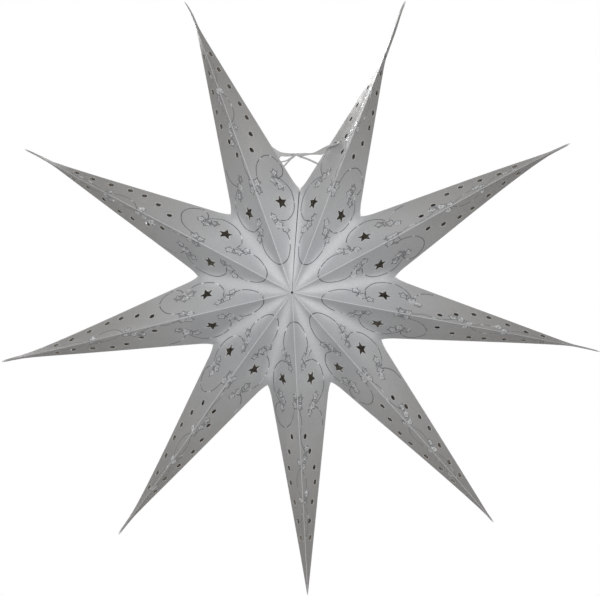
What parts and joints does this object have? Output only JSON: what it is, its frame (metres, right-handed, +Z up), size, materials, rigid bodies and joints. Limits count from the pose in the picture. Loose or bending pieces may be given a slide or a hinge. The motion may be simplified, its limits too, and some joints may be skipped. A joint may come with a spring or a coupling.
{
  "type": "paper star lantern",
  "caption": "Folding paper star lantern shade with long pointed rays, punched card panels creased at ridges and valleys, tied shut above its top notch.",
  "frame": {"origin": "middle of the tie above the top notch, where the lantern hangs on a lamp cord", "axes": "+Z up along the lamp cord, +Y to the back, so the front faces -Y; +X to the right as seen from the front"},
  "size_m": [0.5968, 0.1352, 0.5878],
  "materials": {
    "printed_card": "matt silver-grey printed card",
    "cotton_tie": "white cotton ribbon and string"
  },
  "bodies": {
    "point_1_front_left": {"point_1_front_left": "printed_card", "tie_knot": "cotton_tie", "tie_ribbon_right": "cotton_tie", "tie_string_right": "cotton_tie"},
    "point_1_front_right": {"point_1_front_right": "printed_card"},
    "point_1_back_left": {"point_1_back_left": "printed_card"},
    "point_1_back_right": {"point_1_back_right": "printed_card"},
    "point_2_front_left": {"point_2_front_left": "printed_card", "glue_flap_1_2_front": "printed_card"},
    "point_2_front_right": {"point_2_front_right": "printed_card"},
    "point_2_back_left": {"point_2_back_left": "printed_card", "glue_flap_1_2_back": "printed_card"},
    "point_2_back_right": {"point_2_back_right": "printed_card"},
    "point_3_front_left": {"point_3_front_left": "printed_card", "glue_flap_2_3_front": "printed_card"},
    "point_3_front_right": {"point_3_front_right": "printed_card"},
    "point_3_back_left": {"point_3_back_left": "printed_card", "glue_flap_2_3_back": "printed_card"},
    "point_3_back_right": {"point_3_back_right": "printed_card"},
    "point_4_front_left": {"point_4_front_left": "printed_card", "glue_flap_3_4_front": "printed_card"},
    "point_4_front_right": {"point_4_front_right": "printed_card"},
    "point_4_back_left": {"point_4_back_left": "printed_card", "glue_flap_3_4_back": "printed_card"},
    "point_4_back_right": {"point_4_back_right": "printed_card"},
    "point_5_front_left": {"point_5_front_left": "printed_card", "glue_flap_4_5_front": "printed_card"},
    "point_5_front_right": {"point_5_front_right": "printed_card"},
    "point_5_back_left": {"point_5_back_left": "printed_card", "glue_flap_4_5_back": "printed_card"},
    "point_5_back_right": {"point_5_back_right": "printed_card"},
    "point_6_front_left": {"point_6_front_left": "printed_card", "glue_flap_5_6_front": "printed_card"},
    "point_6_front_right": {"point_6_front_right": "printed_card"},
    "point_6_back_left": {"point_6_back_left": "printed_card", "glue_flap_5_6_back": "printed_card"},
    "point_6_back_right": {"point_6_back_right": "printed_card"},
    "point_7_front_left": {"point_7_front_left": "printed_card", "glue_flap_6_7_front": "printed_card"},
    "point_7_front_right": {"point_7_front_right": "printed_card"},
    "point_7_back_left": {"point_7_back_left": "printed_card", "glue_flap_6_7_back": "printed_card"},
    "point_7_back_right": {"point_7_back_right": "printed_card"},
    "point_8_front_left": {"point_8_front_left": "printed_card", "glue_flap_7_8_front": "printed_card"},
    "point_8_front_right": {"point_8_front_right": "printed_card"},
    "point_8_back_left": {"point_8_back_left": "printed_card", "glue_flap_7_8_back": "printed_card"},
    "point_8_back_right": {"point_8_back_right": "printed_card"},
    "point_9_front_left": {"point_9_front_left": "printed_card", "glue_flap_8_9_front": "printed_card"},
    "point_9_front_right": {"point_9_front_right": "printed_card", "tie_ribbon_left": "cotton_tie", "tie_string_left": "cotton_tie"},
    "point_9_back_left": {"point_9_back_left": "printed_card", "glue_flap_8_9_back": "printed_card"},
    "point_9_back_right": {"point_9_back_right": "printed_card"}
  },
  "joints": [
    {"name": "ridge_fold_1", "type": "hinge", "parent": "point_1_front_left", "child": "point_1_front_right", "pos_m": [0, -0.06928, -0.137], "axis": [0.3334, 0.2237, 0.9159], "range_deg": [0, 67.48]},
    {"name": "side_fold_1_left", "type": "hinge", "parent": "point_1_front_left", "child": "point_1_back_left", "pos_m": [0.10432, 0, 0.14961], "axis": [0.482, 0, 0.8762], "range_deg": [0, 65.54]},
    {"name": "side_fold_1_right", "type": "hinge", "parent": "point_1_front_right", "child": "point_1_back_right", "pos_m": [0.10432, 0, 0.14961], "axis": [-0.1939, 0, -0.981], "range_deg": [0, 65.54]},
    {"name": "valley_fold_1_2", "type": "hinge", "parent": "point_1_front_right", "child": "point_2_front_left", "pos_m": [0, -0.07, -0.137], "axis": [-0.5212, -0.5852, -0.6212], "range_deg": [0, 83.98]},
    {"name": "ridge_fold_2", "type": "hinge", "parent": "point_2_front_left", "child": "point_2_front_right", "pos_m": [0, -0.06928, -0.137], "axis": [0.8441, 0.2237, 0.4873], "range_deg": [0, 67.48]},
    {"name": "side_fold_2_left", "type": "hinge", "parent": "point_2_front_left", "child": "point_2_back_left", "pos_m": [0.26414, 0, 0.0155], "axis": [0.9324, 0, 0.3613], "range_deg": [0, 65.54]},
    {"name": "side_fold_2_right", "type": "hinge", "parent": "point_2_front_right", "child": "point_2_back_right", "pos_m": [0.26414, 0, 0.0155], "axis": [-0.7791, 0, -0.6269], "range_deg": [0, 65.54]},
    {"name": "valley_fold_2_3", "type": "hinge", "parent": "point_2_front_right", "child": "point_3_front_left", "pos_m": [0, -0.07, -0.137], "axis": [-0.7986, -0.5852, -0.1408], "range_deg": [0, 83.98]},
    {"name": "ridge_fold_3", "type": "hinge", "parent": "point_3_front_left", "child": "point_3_front_right", "pos_m": [0, -0.06928, -0.137], "axis": [0.9599, 0.2237, -0.1692], "range_deg": [0, 67.48]},
    {"name": "side_fold_3_left", "type": "hinge", "parent": "point_3_front_left", "child": "point_3_back_left", "pos_m": [0.30037, 0, -0.18996], "axis": [0.9465, 0, -0.3226], "range_deg": [0, 65.54]},
    {"name": "side_fold_3_right", "type": "hinge", "parent": "point_3_front_right", "child": "point_3_back_right", "pos_m": [0.30037, 0, -0.18996], "axis": [-0.9998, 0, 0.0206], "range_deg": [0, 65.54]},
    {"name": "valley_fold_3_4", "type": "hinge", "parent": "point_3_front_right", "child": "point_4_front_left", "pos_m": [0, -0.07, -0.137], "axis": [-0.7023, -0.5852, 0.4054], "range_deg": [0, 83.98]},
    {"name": "ridge_fold_4", "type": "hinge", "parent": "point_4_front_left", "child": "point_4_front_right", "pos_m": [0, -0.06928, -0.137], "axis": [0.6265, 0.2237, -0.7466], "range_deg": [0, 67.48]},
    {"name": "side_fold_4_left", "type": "hinge", "parent": "point_4_front_left", "child": "point_4_back_left", "pos_m": [0.19605, 0, -0.37064], "axis": [0.5178, 0, -0.8555], "range_deg": [0, 65.54]},
    {"name": "side_fold_4_right", "type": "hinge", "parent": "point_4_front_right", "child": "point_4_back_right", "pos_m": [0.19605, 0, -0.37064], "axis": [-0.7526, 0, 0.6584], "range_deg": [0, 65.54]},
    {"name": "valley_fold_4_5", "type": "hinge", "parent": "point_4_front_right", "child": "point_5_front_left", "pos_m": [0, -0.07, -0.137], "axis": [-0.2773, -0.5852, 0.762], "range_deg": [0, 83.98]},
    {"name": "ridge_fold_5", "type": "hinge", "parent": "point_5_front_left", "child": "point_5_front_right", "pos_m": [0, -0.06928, -0.137], "axis": [0, 0.2237, -0.9747], "range_deg": [0, 67.48]},
    {"name": "side_fold_5_left", "type": "hinge", "parent": "point_5_front_left", "child": "point_5_back_left", "pos_m": [0, 0, -0.442], "axis": [-0.1533, 0, -0.9882], "range_deg": [0, 65.54]},
    {"name": "side_fold_5_right", "type": "hinge", "parent": "point_5_front_right", "child": "point_5_back_right", "pos_m": [0, 0, -0.442], "axis": [-0.1533, 0, 0.9882], "range_deg": [0, 65.54]},
    {"name": "valley_fold_5_6", "type": "hinge", "parent": "point_5_front_right", "child": "point_6_front_left", "pos_m": [0, -0.07, -0.137], "axis": [0.2773, -0.5852, 0.762], "range_deg": [0, 83.98]},
    {"name": "ridge_fold_6", "type": "hinge", "parent": "point_6_front_left", "child": "point_6_front_right", "pos_m": [0, -0.06928, -0.137], "axis": [-0.6265, 0.2237, -0.7466], "range_deg": [0, 67.48]},
    {"name": "side_fold_6_left", "type": "hinge", "parent": "point_6_front_left", "child": "point_6_back_left", "pos_m": [-0.19605, 0, -0.37064], "axis": [-0.7526, 0, -0.6584], "range_deg": [0, 65.54]},
    {"name": "side_fold_6_right", "type": "hinge", "parent": "point_6_front_right", "child": "point_6_back_right", "pos_m": [-0.19605, 0, -0.37064], "axis": [0.5178, 0, 0.8555], "range_deg": [0, 65.54]},
    {"name": "valley_fold_6_7", "type": "hinge", "parent": "point_6_front_right", "child": "point_7_front_left", "pos_m": [0, -0.07, -0.137], "axis": [0.7023, -0.5852, 0.4054], "range_deg": [0, 83.98]},
    {"name": "ridge_fold_7", "type": "hinge", "parent": "point_7_front_left", "child": "point_7_front_right", "pos_m": [0, -0.06928, -0.137], "axis": [-0.9599, 0.2237, -0.1692], "range_deg": [0, 67.48]},
    {"name": "side_fold_7_left", "type": "hinge", "parent": "point_7_front_left", "child": "point_7_back_left", "pos_m": [-0.30037, 0, -0.18996], "axis": [-0.9998, 0, -0.0206], "range_deg": [0, 65.54]},
    {"name": "side_fold_7_right", "type": "hinge", "parent": "point_7_front_right", "child": "point_7_back_right", "pos_m": [-0.30037, 0, -0.18996], "axis": [0.9465, 0, 0.3226], "range_deg": [0, 65.54]},
    {"name": "valley_fold_7_8", "type": "hinge", "parent": "point_7_front_right", "child": "point_8_front_left", "pos_m": [0, -0.07, -0.137], "axis": [0.7986, -0.5852, -0.1408], "range_deg": [0, 83.98]},
    {"name": "ridge_fold_8", "type": "hinge", "parent": "point_8_front_left", "child": "point_8_front_right", "pos_m": [0, -0.06928, -0.137], "axis": [-0.8441, 0.2237, 0.4873], "range_deg": [0, 67.48]},
    {"name": "side_fold_8_left", "type": "hinge", "parent": "point_8_front_left", "child": "point_8_back_left", "pos_m": [-0.26414, 0, 0.0155], "axis": [-0.7791, 0, 0.6269], "range_deg": [0, 65.54]},
    {"name": "side_fold_8_right", "type": "hinge", "parent": "point_8_front_right", "child": "point_8_back_right", "pos_m": [-0.26414, 0, 0.0155], "axis": [0.9324, 0, -0.3613], "range_deg": [0, 65.54]},
    {"name": "valley_fold_8_9", "type": "hinge", "parent": "point_8_front_right", "child": "point_9_front_left", "pos_m": [0, -0.07, -0.137], "axis": [0.5212, -0.5852, -0.6212], "range_deg": [0, 83.98]},
    {"name": "ridge_fold_9", "type": "hinge", "parent": "point_9_front_left", "child": "point_9_front_right", "pos_m": [0, -0.06928, -0.137], "axis": [-0.3334, 0.2237, 0.9159], "range_deg": [0, 67.48]},
    {"name": "side_fold_9_left", "type": "hinge", "parent": "point_9_front_left", "child": "point_9_back_left", "pos_m": [-0.10432, 0, 0.14961], "axis": [-0.1939, 0, 0.981], "range_deg": [0, 65.54]},
    {"name": "side_fold_9_right", "type": "hinge", "parent": "point_9_front_right", "child": "point_9_back_right", "pos_m": [-0.10432, 0, 0.14961], "axis": [0.482, 0, -0.8762], "range_deg": [0, 65.54]}
  ],
  "couplings": [
    {"joint": "side_fold_1_left", "follows": "ridge_fold_1", "ratio": 0.97119},
    {"joint": "side_fold_1_right", "follows": "ridge_fold_1", "ratio": 0.97119},
    {"joint": "valley_fold_1_2", "follows": "ridge_fold_1", "ratio": 1.2444},
    {"joint": "ridge_fold_2", "follows": "ridge_fold_1", "ratio": 1},
    {"joint": "side_fold_2_left", "follows": "ridge_fold_1", "ratio": 0.97119},
    {"joint": "side_fold_2_right", "follows": "ridge_fold_1", "ratio": 0.97119},
    {"joint": "valley_fold_2_3", "follows": "ridge_fold_1", "ratio": 1.2444},
    {"joint": "ridge_fold_3", "follows": "ridge_fold_1", "ratio": 1},
    {"joint": "side_fold_3_left", "follows": "ridge_fold_1", "ratio": 0.97119},
    {"joint": "side_fold_3_right", "follows": "ridge_fold_1", "ratio": 0.97119},
    {"joint": "valley_fold_3_4", "follows": "ridge_fold_1", "ratio": 1.2444},
    {"joint": "ridge_fold_4", "follows": "ridge_fold_1", "ratio": 1},
    {"joint": "side_fold_4_left", "follows": "ridge_fold_1", "ratio": 0.97119},
    {"joint": "side_fold_4_right", "follows": "ridge_fold_1", "ratio": 0.97119},
    {"joint": "valley_fold_4_5", "follows": "ridge_fold_1", "ratio": 1.2444},
    {"joint": "ridge_fold_5", "follows": "ridge_fold_1", "ratio": 1},
    {"joint": "side_fold_5_left", "follows": "ridge_fold_1", "ratio": 0.97119},
    {"joint": "side_fold_5_right", "follows": "ridge_fold_1", "ratio": 0.97119},
    {"joint": "valley_fold_5_6", "follows": "ridge_fold_1", "ratio": 1.2444},
    {"joint": "ridge_fold_6", "follows": "ridge_fold_1", "ratio": 1},
    {"joint": "side_fold_6_left", "follows": "ridge_fold_1", "ratio": 0.97119},
    {"joint": "side_fold_6_right", "follows": "ridge_fold_1", "ratio": 0.97119},
    {"joint": "valley_fold_6_7", "follows": "ridge_fold_1", "ratio": 1.2444},
    {"joint": "ridge_fold_7", "follows": "ridge_fold_1", "ratio": 1},
    {"joint": "side_fold_7_left", "follows": "ridge_fold_1", "ratio": 0.97119},
    {"joint": "side_fold_7_right", "follows": "ridge_fold_1", "ratio": 0.97119},
    {"joint": "valley_fold_7_8", "follows": "ridge_fold_1", "ratio": 1.2444},
    {"joint": "ridge_fold_8", "follows": "ridge_fold_1", "ratio": 1},
    {"joint": "side_fold_8_left", "follows": "ridge_fold_1", "ratio": 0.97119},
    {"joint": "side_fold_8_right", "follows": "ridge_fold_1", "ratio": 0.97119},
    {"joint": "valley_fold_8_9", "follows": "ridge_fold_1", "ratio": 1.2444},
    {"joint": "ridge_fold_9", "follows": "ridge_fold_1", "ratio": 1},
    {"joint": "side_fold_9_left", "follows": "ridge_fold_1", "ratio": 0.97119},
    {"joint": "side_fold_9_right", "follows": "ridge_fold_1", "ratio": 0.97119}
  ]
}
